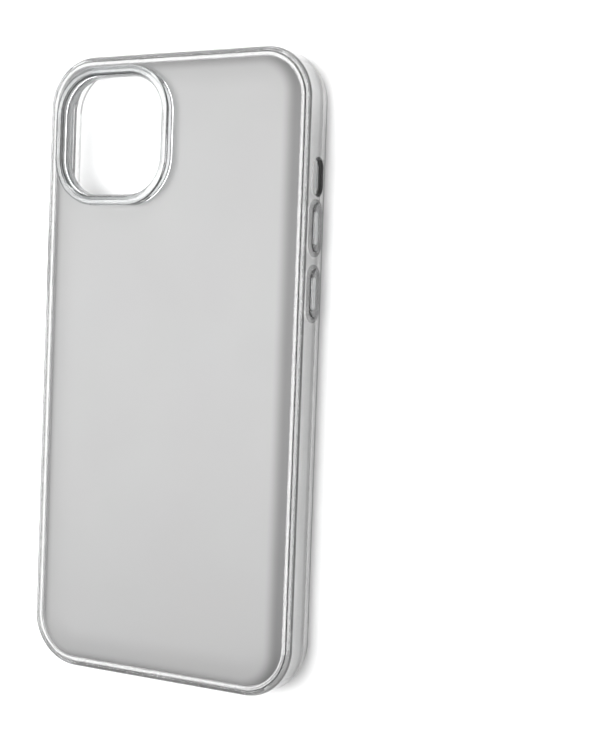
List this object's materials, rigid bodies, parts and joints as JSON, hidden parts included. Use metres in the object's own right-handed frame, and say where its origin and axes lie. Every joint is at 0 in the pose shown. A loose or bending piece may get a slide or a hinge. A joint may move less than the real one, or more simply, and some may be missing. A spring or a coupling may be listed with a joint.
{
  "type": "phone case",
  "caption": "Clear phone case with a satin back panel, a clear bumper frame, a raised camera guard ring and sliding key caps in the side walls.",
  "frame": {"origin": "middle of the case in the plane of its front lip, the surface it lies on with its back up", "axes": "+X across, to the side with the mute-switch opening and the volume keys; +Y along, to the camera end; +Z out of the back"},
  "size_m": [0.082, 0.1642, 0.0132],
  "materials": {
    "bumper": "clear flexible TPU, glossy",
    "panel": "hard polycarbonate with a satin frost, pale grey",
    "guard": "clear polycarbonate, polished",
    "key_caps": "clear polycarbonate, polished",
    "membranes": "thin flexible TPU, satin"
  },
  "bodies": {
    "case": {"bumper_frame": "bumper", "back_panel": "panel", "camera_guard": "guard", "volume_up_membrane": "membranes", "volume_down_membrane": "membranes", "power_membrane": "membranes"},
    "volume_up_key": {"volume_up_button": "key_caps"},
    "volume_down_key": {"volume_down_button": "key_caps"},
    "power_key": {"power_button": "key_caps"}
  },
  "joints": [
    {"name": "volume_up_press", "type": "slide", "parent": "case", "child": "volume_up_key", "axis": [-1, 0, 0], "range_m": [0, 0.00035], "stiffness_N_per_m": 1500},
    {"name": "volume_down_press", "type": "slide", "parent": "case", "child": "volume_down_key", "axis": [-1, 0, 0], "range_m": [0, 0.00035], "stiffness_N_per_m": 1500},
    {"name": "power_press", "type": "slide", "parent": "case", "child": "power_key", "axis": [1, 0, 0], "range_m": [0, 0.00035], "stiffness_N_per_m": 1500}
  ]
}
